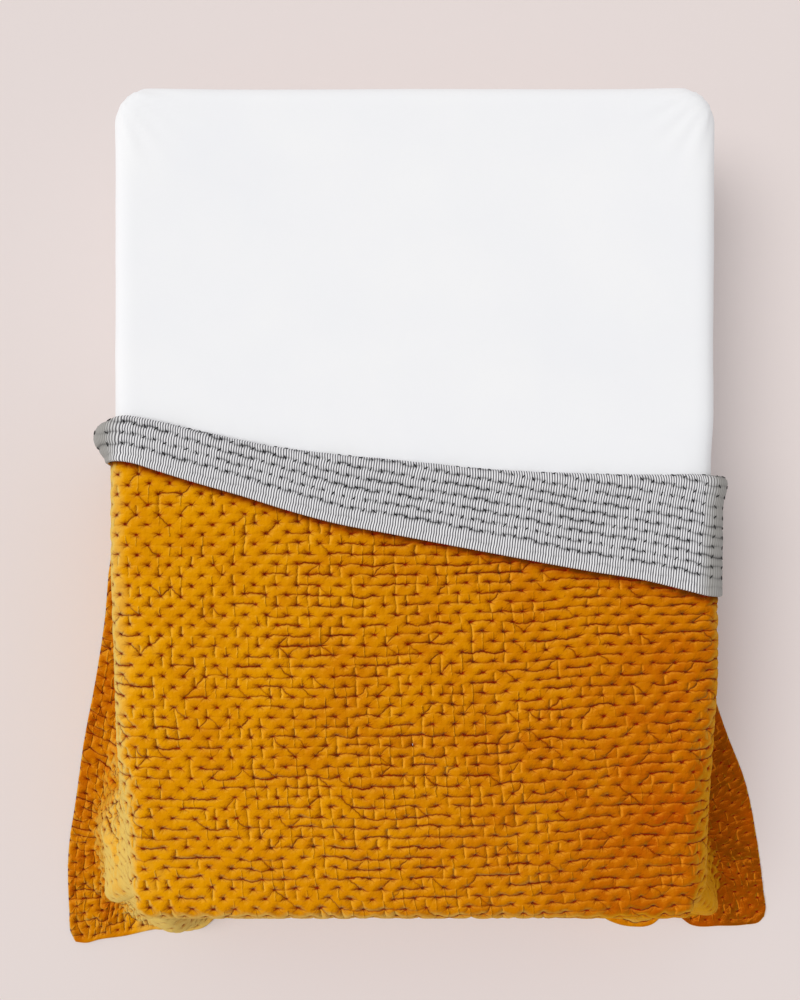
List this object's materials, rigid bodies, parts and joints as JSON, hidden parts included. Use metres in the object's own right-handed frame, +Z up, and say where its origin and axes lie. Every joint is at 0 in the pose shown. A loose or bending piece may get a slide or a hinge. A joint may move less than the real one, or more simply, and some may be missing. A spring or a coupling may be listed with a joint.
{
  "type": "kantha quilt on a mattress and bed base",
  "caption": "Hand-stitched velvet quilt with a striped cotton back, draped over the foot of a made bed, its head end turned back.",
  "frame": {"origin": "middle of the bed base's underside, on the floor", "axes": "+Z up, +Y towards the head of the bed, +X to the right seen from above with the head at the top"},
  "size_m": [1.8776, 2.1302, 0.4086],
  "materials": {
    "velvet": "mustard cotton velvet, hand quilted",
    "striped_cotton": "white cotton woven with fine charcoal stripes, hand quilted",
    "sheeting": "white cotton percale",
    "base_cloth": "plain pale upholstery cloth"
  },
  "bodies": {
    "root": {"quilt_face": "velvet", "quilt_backing": "striped_cotton", "mattress": "sheeting", "bed_base": "base_cloth"}
  },
  "joints": []
}
